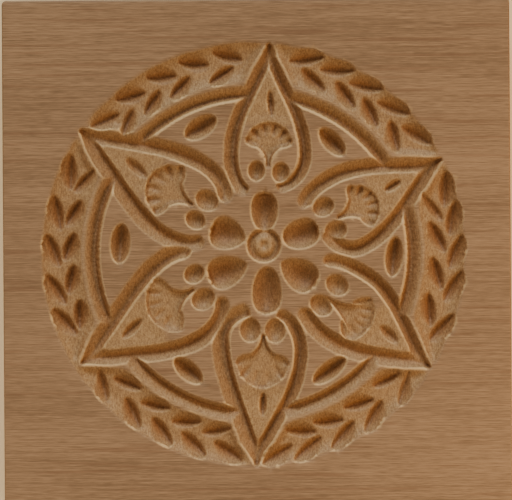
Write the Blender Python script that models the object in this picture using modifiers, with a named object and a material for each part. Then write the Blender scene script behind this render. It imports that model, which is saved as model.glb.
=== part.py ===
"""Carved wooden biscuit mould: a square board with a hollow flower rosette cut into its face.

The board lies on its back with the carved face up. The origin is at the middle of its underside.
Carving sizes are in millimetres on the face, x to the right and y up from the face's middle.
"""
from collections import namedtuple
from math import cos, hypot, pi, radians, sin

import bmesh
import bpy
from mathutils import Matrix, Vector

MM = 0.001

# Board
BOARD_SIDE = 100.0
BOARD_THICKNESS = 18.0
EDGE_ROUND = 0.6
WOOD_COLOUR = (0.305, 0.165, 0.076, 1.0)
WOOD_ROUGHNESS = 0.62

# How far a trough's banks run on above the face, and how far the axis of a round cut lies above it
CLEARANCE = 0.8
AXIS_LIFT = 0.08

# The hollow band of the wreath, in a bay between each petal and the next, and the ring groove inside it
WREATH_CENTRE = (-0.8, -0.1)
COVE_DEPTH = 1.15
COVE_PROFILE = ((41.6, 0.0), (41.0, 0.6), (39.6, 1.0), (37.2, 1.0), (35.2, 0.7), (33.9, 0.0))
COVE_STEPS = 50
BAY_GAP = 0.35
GUARD_HEIGHT = 3.0
RING_RADIUS = 31.2
RING_INNER_BANK = 0.9
RING_OUTER_BANK = 2.2
RING_DEPTH = 1.35
RING_SPAN = 4.0

# Petals: the groove along each side, two pearls, a ribbed fan and a bud cut
STAR_CENTRE = (1.3, 1.3)
LIMB_DEPTH = 1.7
LIMB_TIP_DEPTH = 1.4
LIMB_LONG_SPANS = 9
LIMB_CURL_SPANS = 5
TIP_WIDTH = 0.22
TIP_GROWTH = 2.3
CURL_WIDTH = 0.55
CURL_DEPTH = 0.6
TIP_CROSSING = 0.45
PEARL_DEPTH = 1.5
PEARL_SWELL = 1.1
FAN_RIBS = 6
FAN_DEPTH = 0.95
STEM_LENGTH = 2.5
STEM_HALF_WIDTH = 0.4
RIB_START = 0.42
RIB_DEPTH = 1.4
BUD_DEPTH = 1.1
TIP_HOLLOW_DEPTH = 0.5

# Flower in the middle, seeds between the petals and leaves round the wreath
BOWL_DEPTH = 2.1
BOSS_CENTRE = (1.35, 1.55)
BOSS_RING_RADIUS = 2.7
BOSS_RING_WIDTH = 0.7
BOSS_RING_DEPTH = 1.1
SEED_DEPTH = 2.0
LEAF_HALF_WIDTH = 1.3
LEAF_DEPTH = 1.25

Limb = namedtuple("Limb", "spread shoulder lean fullness outer inner curl")
Fan = namedtuple("Fan", "hinge crown side left right")
Bud = namedtuple("Bud", "start end half_width")
Pearl = namedtuple("Pearl", "across out radius")
Petal = namedtuple("Petal", "name bearing reach left right pearls fan bud")
Scoop = namedtuple("Scoop", "start end half_width")
LeafRow = namedtuple("LeafRow", "bearings base turn tip")

# Each petal was cut by eye, so the six differ. Lengths run out from STAR_CENTRE along the bearing.
PETALS = (
    Petal("top", 88.1, 39.8,
          Limb(6.4, 18.0, 0.00, 0.42, 2.1, 0.9, (3.2, 11.2)),
          Limb(7.4, 18.0, 0.05, 0.40, 1.6, 1.0, (2.2, 11.9)),
          (Pearl(-1.8, 15.0, 1.55), Pearl(3.0, 14.8, 1.60)),
          Fan((0.5, 18.4), 5.9, 4.9, 68, 69), Bud((0.4, 30.8), (0.9, 25.6), 0.80)),
    Petal("top_left", 147.2, 42.6,
          Limb(8.1, 18.5, 0.22, 0.28, 2.4, 1.1, (5.0, 11.4)),
          Limb(7.2, 18.5, 0.10, 0.40, 1.9, 1.6, (3.2, 11.6)),
          (Pearl(-2.8, 14.3, 1.60), Pearl(1.7, 14.5, 1.85)),
          Fan((-0.6, 18.8), 7.3, 5.6, 70, 67), Bud((0.1, 32.2), (-0.8, 26.8), 1.25)),
    Petal("bottom_left", 212.3, 42.4,
          Limb(8.4, 20.0, 0.18, 0.35, 1.9, 1.5, (3.8, 12.8)),
          Limb(8.0, 17.5, 0.15, 0.32, 2.5, 1.1, (6.5, 13.2)),
          (Pearl(-2.3, 15.8, 1.90), Pearl(2.8, 14.6, 1.65)),
          Fan((0.3, 18.6), 7.5, 6.3, 58, 71), Bud((-0.2, 33.2), (0.9, 27.9), 1.15)),
    Petal("bottom", 267.9, 42.9,
          Limb(7.8, 21.0, 0.10, 0.42, 1.6, 1.3, (3.0, 13.4)),
          Limb(7.1, 18.5, 0.12, 0.34, 2.6, 0.9, (2.2, 13.4)),
          (Pearl(-2.8, 16.7, 1.90), Pearl(2.1, 16.7, 1.90)),
          Fan((-0.5, 20.0), 7.7, 5.3, 68, 68), Bud((-0.8, 33.4), (-0.8, 28.7), 0.90)),
    Petal("bottom_right", 323.6, 40.3,
          Limb(7.4, 21.0, 0.10, 0.36, 1.6, 1.3, (4.3, 11.6)),
          Limb(6.9, 20.0, 0.12, 0.42, 2.2, 1.5, (4.8, 14.2)),
          (Pearl(-2.4, 16.4, 1.85), Pearl(2.7, 16.2, 1.85)),
          Fan((0.9, 18.6), 7.4, 6.3, 53, 45), Bud((-0.2, 32.6), (-0.9, 27.8), 1.20)),
    Petal("top_right", 25.8, 38.8,
          Limb(6.2, 18.5, 0.00, 0.40, 1.9, 1.5, (3.3, 10.8)),
          Limb(8.5, 17.5, 0.15, 0.40, 1.7, 1.5, (2.8, 12.4)),
          (Pearl(-1.8, 14.2, 1.70), Pearl(3.5, 14.3, 1.80)),
          Fan((1.4, 18.2), 5.9, 4.9, 72, 62), Bud((0.2, 30.0), (0.7, 26.2), 1.00)),
)

# The six bowls of the middle flower, from the boss outwards: three round at both ends, three pointed inwards
BLUNT_BOWLS = (
    Scoop((1.5, 4.3), (1.5, 11.8), 2.5),
    Scoop((5.2, 2.6), (11.9, 4.7), 2.95),
    Scoop((2.0, -2.4), (1.8, -12.0), 2.7),
)
POINTED_BOWLS = (
    Scoop((-2.3, 2.7), (-8.9, 4.8), 3.3),
    Scoop((-2.0, -2.1), (-9.4, -4.8), 3.2),
    Scoop((4.8, -1.8), (11.3, -6.2), 3.2),
)

# One seed in each flat between two petals, from its point to its round end
SEEDS = (
    Scoop((-8.0, 26.7), (-13.9, 23.0), 2.15),
    Scoop((12.7, 24.3), (17.2, 19.3), 1.95),
    Scoop((27.4, 3.0), (26.5, -4.7), 1.85),
    Scoop((17.2, -20.9), (11.0, -25.5), 1.85),
    Scoop((-16.3, -20.8), (-11.1, -25.3), 1.95),
    Scoop((-26.6, 5.9), (-27.2, -1.8), 2.1),
)

# Leaf cuts, an outer and an inner row in each bay between two petal tips
LEAF_ROWS = (
    LeafRow((78.5, 69.3, 60.0, 50.0, 39.8), 38.7, -8.4, 41.1),
    LeafRow((74.5, 63.5, 54.0, 43.5), 37.6, -8.5, 35.1),
    LeafRow((93.0, 103.0, 113.0, 123.5, 133.6), 38.2, 7.6, 40.4),
    LeafRow((95.8, 109.5, 119.5, 129.5), 37.0, 7.8, 34.7),
    LeafRow((160.0, 172.3, 183.2, 194.4, 204.0), 38.2, -8.6, 40.6),
    LeafRow((160.3, 171.0, 181.6, 191.8, 203.0), 36.8, -8.3, 35.0),
    LeafRow((216.8, 228.5, 238.4, 248.2, 258.3), 38.0, 8.0, 40.8),
    LeafRow((221.5, 232.8, 244.0, 254.0), 36.7, 8.3, 34.7),
    LeafRow((281.0, 289.8, 300.4, 310.6, 322.4), 38.6, -8.5, 41.3),
    LeafRow((289.0, 298.0, 309.0, 320.5), 37.3, -8.5, 35.4),
    LeafRow((333.8, 346.0, 355.8, 365.4, 373.8), 38.9, 8.6, 41.1),
    LeafRow((337.6, 349.0, 360.4, 369.8), 37.8, 9.2, 35.5),
)


# Places on the face

def from_wreath(bearing, radius):
    """The point at a bearing and a distance from the wreath's middle."""
    angle = radians(bearing)
    return WREATH_CENTRE[0] + radius * cos(angle), WREATH_CENTRE[1] + radius * sin(angle)


def from_petal(petal, point):
    """A point of a petal's own frame, across and out along its bearing, as a point of the face."""
    across, out = point
    angle = radians(petal.bearing)
    return (STAR_CENTRE[0] + out * cos(angle) + across * sin(angle),
            STAR_CENTRE[1] + out * sin(angle) - across * cos(angle))


def bezier(points, spans):
    """Points along a cubic Bezier curve."""
    a, b, c, d = (Vector(p) for p in points)
    steps = (i / spans for i in range(spans + 1))
    return [a * (1 - t) ** 3 + b * 3 * t * (1 - t) ** 2 + c * 3 * t * t * (1 - t) + d * t ** 3 for t in steps]


def limb_line(petal, limb, side):
    """The deepest line of a petal's groove, from the tip down and round the curl; side is -1 or 1."""
    spread, shoulder = limb.spread, limb.shoulder
    drop = petal.reach - shoulder
    curl_across, curl_out = limb.curl
    turn = shoulder - curl_out
    long_side = bezier(((-TIP_CROSSING, petal.reach), (limb.lean * spread, petal.reach - 0.32 * drop),
                        (spread, shoulder + limb.fullness * drop), (spread, shoulder)), LIMB_LONG_SPANS)
    curl = bezier(((spread, shoulder), (spread, shoulder - 0.55 * turn),
                   (0.5 * (spread + curl_across), curl_out), limb.curl), LIMB_CURL_SPANS)
    return [from_petal(petal, (side * across, out)) for across, out in long_side + curl[1:]]


def ring_crossing(petal, side):
    """The bearing at which a petal's groove crosses the ring groove."""
    limb = petal.left if side < 0 else petal.right
    line = [Vector(p) - Vector(WREATH_CENTRE) for p in limb_line(petal, limb, side)]
    for outer, inner in zip(line, line[1:]):
        if inner.length <= RING_RADIUS:
            share = (outer.length - RING_RADIUS) / (outer.length - inner.length)
            return outer.lerp(inner, share).angle_signed(Vector((1, 0))) * 180 / pi
    raise ValueError(petal.name + " does not reach the ring")


def cove_depth(radius):
    """How deep the wreath's hollow is at a distance from its middle."""
    for (outer, outer_share), (inner, inner_share) in zip(COVE_PROFILE, COVE_PROFILE[1:]):
        if inner <= radius <= outer:
            return COVE_DEPTH * (inner_share + (outer_share - inner_share) * (radius - inner) / (outer - inner))
    return 0.0


def lens(t, peak, sharpness):
    """Swells from 0 to 1 at the peak and back to 0; a low sharpness is blunt, a high one pointed."""
    if t <= 0 or t >= 1:
        return 0.0
    return (t / peak) ** (sharpness * peak) * ((1 - t) / (1 - peak)) ** (sharpness * (1 - peak))


def petal_bud(petal):
    """The slit cut above a petal's fan, on the face."""
    bud = petal.bud
    return Scoop(from_petal(petal, bud.start), from_petal(petal, bud.end), bud.half_width)


# Cutters

def finish_mesh(mesh, name, collection):
    """Turns a bmesh built in millimetres into an object in metres, its faces outwards."""
    bmesh.ops.remove_doubles(mesh, verts=mesh.verts, dist=0.001)
    bmesh.ops.recalc_face_normals(mesh, faces=mesh.faces)
    mesh.transform(Matrix.Scale(MM, 4))
    data = bpy.data.meshes.new(name)
    mesh.to_mesh(data)
    mesh.free()
    thing = bpy.data.objects.new(name, data)
    collection.objects.link(thing)
    return thing


def add_trough(mesh, line, left, right, depth):
    """Lofts a V-shaped trough along a line on the face.

    left and right are the widths of the two banks at each station and depth is the depth there.
    The wider bank is eased at its lip. The banks run on upwards past the face.
    """
    rings = []
    for i, point in enumerate(line):
        here = Vector(point)
        along = (Vector(line[min(i + 1, len(line) - 1)]) - Vector(line[max(i - 1, 0)])).normalized()
        leftward = Vector((-along.y, along.x))
        rise = CLEARANCE / depth[i]
        section = ((left[i] * (1 + 1.4 * rise), CLEARANCE), (left[i] * 0.5, -0.36 * depth[i]), (0, -depth[i]),
                   (-right[i] * 0.5, -0.36 * depth[i]), (-right[i] * (1 + 1.4 * rise), CLEARANCE))
        spots = (here + leftward * across for across, height in section)
        rings.append([mesh.verts.new((spot.x, spot.y, BOARD_THICKNESS + height))
                      for spot, (across, height) in zip(spots, section)])
    count = len(rings[0])
    for first, second in zip(rings, rings[1:]):
        for k in range(count):
            mesh.faces.new((first[k], second[k], second[(k + 1) % count], first[(k + 1) % count]))
    mesh.faces.new(rings[0])
    mesh.faces.new(rings[-1])


def add_spindle(mesh, start, end, half_width, depth, peak, sharpness, levels=(0.0, 0.0), sides=6, spans=6):
    """Adds a gouge cut from start to end: a sphere drawn out along its axis to the shape of a lens.

    levels says how far under the face the axis lies at each end.
    """
    made = bmesh.ops.create_uvsphere(mesh, u_segments=sides, v_segments=spans, radius=1.0)["verts"]
    axis = Vector(end) - Vector(start)
    across = Vector((-axis.y, axis.x)).normalized()
    for vert in made:
        t = (1 - vert.co.z) / 2
        ring = hypot(vert.co.x, vert.co.y)
        swell = lens(t, peak, sharpness) / ring if ring > 1e-4 else 0.0
        spot = Vector(start) + axis * t + across * (half_width * swell * vert.co.x)
        level = levels[0] + (levels[1] - levels[0]) * t
        vert.co = (spot.x, spot.y, BOARD_THICKNESS + AXIS_LIFT - level + depth * swell * vert.co.y)


def petal_guards(collection):
    """A block over each petal and its grooves, which keeps the wreath's hollow off them."""
    mesh = bmesh.new()
    for petal in PETALS:
        sides = []
        for limb, side in ((petal.left, -1), (petal.right, 1)):
            line = [Vector(p) for p in limb_line(petal, limb, side)[:LIMB_LONG_SPANS + 1]]
            edge = []
            for i in range(1, len(line)):
                along = (line[min(i + 1, len(line) - 1)] - line[i - 1]).normalized()
                reach = limb.outer * min(1.0, TIP_WIDTH + TIP_GROWTH * i / LIMB_LONG_SPANS) + BAY_GAP
                edge.append(line[i] + Vector((-along.y, along.x)) * (side * reach))
            sides.append(edge)
        tip = Vector(from_petal(petal, (0, petal.reach + BAY_GAP)))
        outline = sides[0][::-1] + [tip] + sides[1]
        upper, lower = ([mesh.verts.new((spot.x, spot.y, BOARD_THICKNESS + height)) for spot in outline]
                        for height in (GUARD_HEIGHT, -GUARD_HEIGHT))
        for k in range(len(outline)):
            after = (k + 1) % len(outline)
            mesh.faces.new((upper[k], upper[after], lower[after], lower[k]))
        mesh.faces.new(upper)
        mesh.faces.new(lower)
    return finish_mesh(mesh, "petal_guards", collection)


def cove_cutter(collection):
    """The wreath's hollow band: a turned profile, less the petals."""
    (outer_lip, flat), *floor, (inner_lip, flat) = COVE_PROFILE
    profile = [(outer_lip + 0.3, CLEARANCE)]
    profile += [(radius, -share * COVE_DEPTH) for radius, share in floor]
    profile.append((inner_lip - 0.9, CLEARANCE))
    mesh = bmesh.new()
    verts = [mesh.verts.new((radius, 0, height)) for radius, height in profile]
    for first, second in zip(verts, verts[1:] + verts[:1]):
        mesh.edges.new((first, second))
    cutter = finish_mesh(mesh, "cut_cove", collection)
    cutter.location = (WREATH_CENTRE[0] * MM, WREATH_CENTRE[1] * MM, BOARD_THICKNESS * MM)
    screw = cutter.modifiers.new("Turn", "SCREW")
    screw.steps = screw.render_steps = COVE_STEPS
    screw.use_merge_vertices = True
    screw.merge_threshold = 0.00001
    carve(cutter, [petal_guards(collection)])
    return cutter


def ring_cutter(collection):
    """The ring groove, one arc between each petal and the next."""
    mesh = bmesh.new()
    ordered = sorted(PETALS, key=lambda petal: petal.bearing)
    for petal, following in zip(ordered, ordered[1:] + ordered[:1]):
        first = ring_crossing(petal, -1)
        last = ring_crossing(following, 1)
        sweep = (last - first) % 360
        spans = round(radians(sweep) * RING_RADIUS / RING_SPAN)
        line = [from_wreath(first + sweep * i / spans, RING_RADIUS) for i in range(spans + 1)]
        count = len(line)
        add_trough(mesh, line, [RING_INNER_BANK] * count, [RING_OUTER_BANK] * count, [RING_DEPTH] * count)
    return finish_mesh(mesh, "cut_ring", collection)


def limb_cutter(collection, side):
    """The grooves down one side of all six petals."""
    mesh = bmesh.new()
    for petal in PETALS:
        limb = petal.left if side < 0 else petal.right
        line = limb_line(petal, limb, side)
        width, depth = [], []
        for i in range(len(line)):
            t = min(i / LIMB_LONG_SPANS, 1.0)
            curl = max(i - LIMB_LONG_SPANS, 0) / LIMB_CURL_SPANS
            width.append(min(1.0, TIP_WIDTH + TIP_GROWTH * t) * (1 - (1 - CURL_WIDTH) * curl))
            deep = LIMB_TIP_DEPTH + (LIMB_DEPTH - LIMB_TIP_DEPTH) * min(1.0, TIP_GROWTH * t)
            depth.append(deep * (1 - (1 - CURL_DEPTH) * curl ** 2))
        outer = [limb.outer * share for share in width]
        inner = [limb.inner * share for share in width]
        left, right = (inner, outer) if side < 0 else (outer, inner)
        add_trough(mesh, line, left, right, depth)
    return finish_mesh(mesh, "cut_limbs_left" if side < 0 else "cut_limbs_right", collection)


def petal_dish_cutter(collection):
    """The hollow of each petal between its fan and its tip."""
    mesh = bmesh.new()
    for petal in PETALS:
        start = from_petal(petal, (petal.fan.hinge[0] * 0.5, petal.fan.hinge[1] + petal.fan.crown * 0.8))
        end = from_petal(petal, (0, petal.reach - 1.5))
        add_spindle(mesh, start, end, 3.6, TIP_HOLLOW_DEPTH, 0.5, 1.5, sides=8)
    return finish_mesh(mesh, "cut_petal_dishes", collection)


def fan_reach(fan, angle):
    """How far a fan's crown is from its hinge."""
    return fan.crown * cos(angle) ** 2 + fan.side * sin(angle) ** 2


def fan_outline(petal):
    """Round a fan's floor: a stem between the pearls that opens out under a domed crown."""
    fan = petal.fan
    across, hinge = fan.hinge
    foot, top = hinge - STEM_LENGTH, hinge + fan.crown
    halves = []
    for side, spread in ((-1, radians(fan.left)), (1, radians(fan.right))):
        wide = fan_reach(fan, spread) * sin(spread)
        level = hinge + fan_reach(fan, spread) * cos(spread)
        rise = [(wide - (wide - STEM_HALF_WIDTH) * cos(a), foot + (level - foot) * sin(a))
                for a in (0, pi / 8, pi / 4, 3 * pi / 8, pi / 2)]
        dome = [(wide * cos(a), level + (top - level) * sin(a)) for a in (pi / 8, pi / 4, 3 * pi / 8)]
        halves.append([(across + side * x, y) for x, y in rise + dome])
    return [from_petal(petal, point) for point in halves[1] + [(across, top)] + halves[0][::-1]]


def fan_floor_cutter(collection):
    """The sunk floors of the six fans."""
    mesh = bmesh.new()
    for petal in PETALS:
        outline = fan_outline(petal)
        upper, lower = ([mesh.verts.new((x, y, BOARD_THICKNESS + height)) for x, y in outline]
                        for height in (CLEARANCE, -FAN_DEPTH))
        for k in range(len(outline)):
            after = (k + 1) % len(outline)
            mesh.faces.new((upper[k], upper[after], lower[after], lower[k]))
        mesh.faces.new(upper)
        mesh.faces.new(lower)
    return finish_mesh(mesh, "cut_fan_floors", collection)


def fan_cutter(collection, parity):
    """Every second flute under the fans' crowns, so that the flutes of one cutter stay apart."""
    mesh = bmesh.new()
    for petal in PETALS:
        fan = petal.fan
        step = (fan.left + fan.right) / FAN_RIBS
        for rib in range(parity, FAN_RIBS, 2):
            angle = radians(-fan.left + step * (rib + 0.5))
            reach = fan_reach(fan, angle)
            ends = ((fan.hinge[0] + share * reach * sin(angle), fan.hinge[1] + share * reach * cos(angle))
                    for share in (RIB_START, 1.04))
            start, end = (from_petal(petal, point) for point in ends)
            add_spindle(mesh, start, end, 0.44 * radians(step) * reach, RIB_DEPTH, 0.7, 0.9, sides=4, spans=4)
    return finish_mesh(mesh, "cut_fans_" + str(parity), collection)


def pearl_cutter(collection):
    """The two round pits at the foot of each petal."""
    mesh = bmesh.new()
    for petal in PETALS:
        for pearl in petal.pearls:
            x, y = from_petal(petal, (pearl.across, pearl.out))
            made = bmesh.ops.create_uvsphere(mesh, u_segments=9, v_segments=6, radius=1.0)["verts"]
            for vert in made:
                place = vert.co * pearl.radius * PEARL_SWELL
                vert.co = (x + place.x, y + place.y,
                           BOARD_THICKNESS + 0.2 + vert.co.z * (PEARL_DEPTH + 0.2))
    return finish_mesh(mesh, "cut_pearls", collection)


def scoop_cutter(collection, name, scoops, depth, peak, sharpness, sides, spans):
    """One gouge cut for each scoop."""
    mesh = bmesh.new()
    for scoop in scoops:
        add_spindle(mesh, scoop.start, scoop.end, scoop.half_width, depth, peak, sharpness,
                    sides=sides, spans=spans)
    return finish_mesh(mesh, name, collection)


def leaf_cutter(collection):
    """The two rows of leaf cuts in every bay of the wreath."""
    mesh = bmesh.new()
    for row in LEAF_ROWS:
        for bearing in row.bearings:
            start = from_wreath(bearing, row.base)
            end = from_wreath(bearing + row.turn, row.tip)
            levels = (cove_depth(row.base), cove_depth(row.tip))
            add_spindle(mesh, start, end, LEAF_HALF_WIDTH, LEAF_DEPTH, 0.5, 1.2, levels, sides=4, spans=4)
    return finish_mesh(mesh, "cut_leaves", collection)


def boss_cutter(collection):
    """The ring cut round the boss in the middle of the flower."""
    x, y = BOSS_CENTRE
    bpy.ops.mesh.primitive_torus_add(
        major_segments=16, minor_segments=6, major_radius=BOSS_RING_RADIUS * MM,
        minor_radius=BOSS_RING_WIDTH * MM, location=(x * MM, y * MM, (BOARD_THICKNESS + AXIS_LIFT) * MM))
    cutter = bpy.context.object
    cutter.name = cutter.data.name = "cut_boss_ring"
    cutter.data.transform(Matrix.Diagonal((1, 1, BOSS_RING_DEPTH / BOSS_RING_WIDTH, 1)))
    for owner in list(cutter.users_collection):
        owner.objects.unlink(cutter)
    collection.objects.link(cutter)
    return cutter


# The board

def carved_wood():
    """Light, fine-grained fruit wood."""
    material = bpy.data.materials.new("carved_wood")
    material.use_nodes = True
    shader = material.node_tree.nodes["Principled BSDF"]
    shader.inputs["Base Color"].default_value = WOOD_COLOUR
    shader.inputs["Roughness"].default_value = WOOD_ROUGHNESS
    shader.inputs["Metallic"].default_value = 0.0
    return material


def mould_board(collection):
    """The square block with eased edges, its underside on z = 0."""
    mesh = bmesh.new()
    bmesh.ops.create_cube(mesh, size=1.0)
    mesh.transform(Matrix.Diagonal((BOARD_SIDE, BOARD_SIDE, BOARD_THICKNESS, 1)))
    mesh.transform(Matrix.Translation((0, 0, BOARD_THICKNESS / 2)))
    board = finish_mesh(mesh, "mould_board", collection)
    board.data.materials.append(carved_wood())
    bevel = board.modifiers.new("Eased edges", "BEVEL")
    bevel.width = EDGE_ROUND * MM
    bevel.segments = 2
    bevel.limit_method = "ANGLE"
    return board


def carve(board, cutters):
    """Takes every cutter out of the board, one Boolean each."""
    for cutter in cutters:
        cutter.data.shade_smooth()
        cutter.hide_render = True
        cutter.display_type = "WIRE"
        cut = board.modifiers.new(cutter.name, "BOOLEAN")
        cut.operation = "DIFFERENCE"
        cut.solver = "EXACT"
        cut.object = cutter


def main():
    for thing in list(bpy.data.objects):
        bpy.data.objects.remove(thing, do_unlink=True)
    parts = bpy.data.collections.new("biscuit_mould")
    cutting = bpy.data.collections.new("cutters")
    bpy.context.scene.collection.children.link(parts)
    bpy.context.scene.collection.children.link(cutting)
    board = mould_board(parts)
    carve(board, (
        cove_cutter(cutting),
        ring_cutter(cutting),
        petal_dish_cutter(cutting),
        limb_cutter(cutting, -1),
        limb_cutter(cutting, 1),
        scoop_cutter(cutting, "cut_blunt_bowls", BLUNT_BOWLS, BOWL_DEPTH, 0.5, 0.85, 9, 7),
        scoop_cutter(cutting, "cut_pointed_bowls", POINTED_BOWLS, BOWL_DEPTH, 0.62, 1.0, 9, 7),
        boss_cutter(cutting),
        pearl_cutter(cutting),
        scoop_cutter(cutting, "cut_seeds", SEEDS, SEED_DEPTH, 0.55, 1.0, 8, 5),
        scoop_cutter(cutting, "cut_buds", [petal_bud(petal) for petal in PETALS],
                     BUD_DEPTH + TIP_HOLLOW_DEPTH, 0.5, 1.4, 6, 5),
        fan_floor_cutter(cutting),
        fan_cutter(cutting, 0),
        fan_cutter(cutting, 1),
        leaf_cutter(cutting),
    ))


main()
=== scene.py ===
"""Looks of the carved biscuit mould: the board's real surface, cut by cut, and its wood.

Carving sizes are in millimetres on the face, x to the right and y up from the face's middle, and
heights are in millimetres above the surface that the board lies on.
"""
from collections import namedtuple
from math import atan2, cos, hypot, pi, radians, sin

import bmesh
import bpy
import numpy as np
from mathutils import Matrix, Vector
from mathutils.bvhtree import BVHTree
from mathutils.geometry import delaunay_2d_cdt
from mathutils.kdtree import KDTree


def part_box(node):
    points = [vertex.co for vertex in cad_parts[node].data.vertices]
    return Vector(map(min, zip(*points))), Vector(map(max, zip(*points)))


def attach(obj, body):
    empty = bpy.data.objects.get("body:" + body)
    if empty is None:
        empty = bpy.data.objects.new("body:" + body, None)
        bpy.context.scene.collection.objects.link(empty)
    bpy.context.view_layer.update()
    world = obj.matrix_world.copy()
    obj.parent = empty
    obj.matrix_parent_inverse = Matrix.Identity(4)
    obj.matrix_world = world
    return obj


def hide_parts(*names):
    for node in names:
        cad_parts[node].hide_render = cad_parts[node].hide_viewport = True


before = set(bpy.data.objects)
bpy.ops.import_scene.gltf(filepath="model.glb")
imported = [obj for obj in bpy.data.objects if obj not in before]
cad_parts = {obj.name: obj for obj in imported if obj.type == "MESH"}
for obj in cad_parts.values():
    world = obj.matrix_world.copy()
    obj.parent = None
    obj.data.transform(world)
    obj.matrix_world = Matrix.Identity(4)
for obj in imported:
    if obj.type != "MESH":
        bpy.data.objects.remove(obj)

MM = 0.001
SEED = 7

# The board's edges
EDGE_ROUND = 0.4
EDGE_STEPS = 4
CORNER_ROUND = 0.5
CORNER_STEPS = 4
WALL_STEPS = 6

# The wreath's hollow band and the ring groove
WREATH_CENTRE = (-0.8, -0.1)
COVE_RADIUS = 38.2
COVE_INNER_BANK = 4.6
COVE_OUTER_BANK = 3.6
COVE_DEPTH = 1.15
COVE_ROUND = 2.8
COVE_INNER_FLARE = 1.0
COVE_OUTER_FLARE = 1.15
BAY_BANK = 1.8
RING_RADIUS = 31.2
RING_INNER_BANK = 0.95
RING_OUTER_BANK = 2.3
RING_DEPTH = 1.75
RING_INNER_FLARE = 1.0
RING_OUTER_FLARE = 1.75

# The grooves that outline the petals
STAR_CENTRE = (1.3, 1.3)
LIMB_DEPTH = 1.9
LIMB_STEPS = 40
INNER_FLARE = 1.0
OUTER_FLARE = 1.0
TIP_WIDTH = 0.22
TIP_DEPTH = 0.7
TIP_DEEPENING = 0.7
TIP_RUN = 7.0
TIP_OPENING = 0.6
TIP_SPLAY = 1.6
TIP_HANDLE = 0.32
SPLAY_RUN = 5.6
CURL_STEPS = 24
CURL_HANDLE = 0.55
CURL_WIDTH = 0.9
CURL_DEPTH = 0.6
CURL_END = 0.14
END_WIDTH = 0.08
END_DEPTH = 0.05

# The fans and the hollow that runs from each one to its petal's tip
FAN_RIBS = 6
FAN_DEPTH = 1.0
CROWN_END = 0.1
STEM_LENGTH = 2.5
STEM_HALF_WIDTH = 0.35
STEM_DEPTH = 0.6
RIB_DEPTH = 1.5
LOW_RIB_DEPTH = 1.35
END_RIB_SHARE = 0.75
RIB_START = 0.42
RIB_END = 1.01
RIB_HALF_WIDTH = 0.44
DISH_DEPTH = 0.5
DISH_OVERLAP = 1.5
DISH_RUN = 3.0
TIP_GAP = 2.5

# The other cuts
BOWL_DEPTH = 2.4
PEARL_DEPTH = 1.5
PEARL_TAIL = 1.2
PEARL_SWELL = 1.12
SEED_DEPTH = 2.3
BUD_DEPTH = 1.3
BUD_LEVEL = 0.8 * DISH_DEPTH
LEAF_DEPTH = 1.6
OUTER_LEAF_HALF_WIDTH = 1.8
INNER_LEAF_HALF_WIDTH = 1.6
LEAF_STRETCH = 0.04
BOSS_CENTRE = (1.35, 1.55)
BOSS_RING_RADIUS = 2.7
BOSS_RING_BANK = 0.75
BOSS_RING_FLARE = 1.2
BOSS_KNOB_BANK = 2.2
BOSS_KNOB_FLARE = 1.7
BOSS_RING_DEPTH = 1.2
BOSS_DEPTH = 0.45
DIMPLE_RADIUS = 0.8
DIMPLE_DEPTH = 0.4
DIMPLE_LEVEL = 0.9 * BOSS_DEPTH

# How finely the face is made
STATION = 0.34
FINE_STATION = 0.14
CARVED_GAP = 0.31
FLAT_GAP = 1.3
ROW_GAP = 0.866
CLOSEST = 0.15
CLOSEST_FLAT = 0.7 * CARVED_GAP
RIM_GAP = 1.0
PAST_WREATH = 1.0
FACE_MARGIN = 0.01
CUT_MARGIN = 0.02
LOOKS = 8
LOOK_REACH = 0.42
LIP_BORDER = 0.6
RAY_LENGTH = 100.0
MERGE_GAP = 1e-6

# The triangulation's kind of output that keeps only what lies within the border
WITHIN_BORDER = 1

# How the lips are eased, and the tools' traces
LIP_EASING = 1
EASING_WEIGHT = 0.6
CREST_WEIGHT = 0.5
RIPPLE = 0.10
RIPPLE_SIZE = 1.1
RIPPLE_STRETCH = 0.55
RIPPLE_GROWTH = 2.5
WANDER_SIZE = 0.35
SEED_STEP = 10.0

# Colours of the wood, and tints that darken it: darker end grain, and painted shade in the hollows,
# stronger with depth, on steep walls and in creases; LIP_PALE is worn lips with a painted highlight
FACE_DARK = (0.180, 0.107, 0.051, 1)
FACE_PALE = (0.354, 0.220, 0.113, 1)
LINE_BROWN = (0.165, 0.078, 0.034, 1)
CUT_DARK = (0.216, 0.120, 0.047, 1)
CUT_PALE = (0.420, 0.268, 0.120, 1)
LIP_PALE = (0.640, 0.430, 0.190, 1)
END_GRAIN_TINT = (0.72, 0.52, 0.38, 1)
DEEP_SHADE_TINT = (0.74, 0.48, 0.28, 1)
STEEP_TINT = (0.78, 0.66, 0.56, 1)
DEEPEST_SHADE_TINT = (0.68, 0.48, 0.34, 1)
CREASE_SHADE_TINT = (0.50, 0.31, 0.19, 1)

# The view and the floor
PHOTO_WIDTH_IN_PIXELS = 512
PIXELS_A_MILLIMETRE = 5.08
VIEW_WIDTH = PHOTO_WIDTH_IN_PIXELS / PIXELS_A_MILLIMETRE
VIEW_CENTRE = (-0.2, 0.6)
CAMERA_HEIGHT = 700.0
BOARD_TURN = 0.38
FLOOR_HALF = 1500.0
FLOOR_DROP = 0.2

# A petal has its own frame: across its bearing, to the right, and out along it from the star's centre.
# A limb is the groove down one side: how far across it is at its shoulder, the shoulder's place out,
# how its curve leans at the tip and fills above the shoulder, its two banks, and where its curl ends.
Petal = namedtuple("Petal", "bearing reach left right pearls fan bud")
Limb = namedtuple("Limb", "spread shoulder lean fullness outer inner curl")
Pearl = namedtuple("Pearl", "across out radius")

# A fan opens at its hinge by an angle to each side; crown and side are its radii out and across.
Fan = namedtuple("Fan", "hinge crown side left right")
Scoop = namedtuple("Scoop", "start end half_width")

# Each leaf of a row starts at a bearing on the base radius and ends turned on, on the tip radius.
LeafRow = namedtuple("LeafRow", "bearings base turn tip")

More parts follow.
